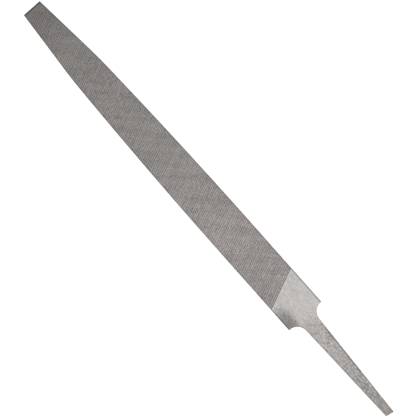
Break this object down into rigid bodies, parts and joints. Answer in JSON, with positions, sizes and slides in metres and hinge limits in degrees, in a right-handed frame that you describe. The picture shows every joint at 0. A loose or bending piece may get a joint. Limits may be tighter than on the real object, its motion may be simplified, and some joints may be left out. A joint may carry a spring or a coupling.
{
  "type": "flat file",
  "caption": "Flat metalworking hand file: a tapered steel blade with rows of teeth across both faces, a plain heel, square shoulders and a bare tapered tang for a handle.",
  "frame": {"origin": "on the long axis at mid thickness, where the tang leaves the shoulders", "axes": "+X along the blade to its point, +Y across its width, +Z out of the upper face"},
  "size_m": [0.2635, 0.021, 0.005],
  "materials": {
    "tool_steel": "cut teeth grey and matt, ground heel brighter and brushed lengthwise, tang dull with forging scale"
  },
  "bodies": {
    "root": {"flat_file": "tool_steel"}
  },
  "joints": []
}
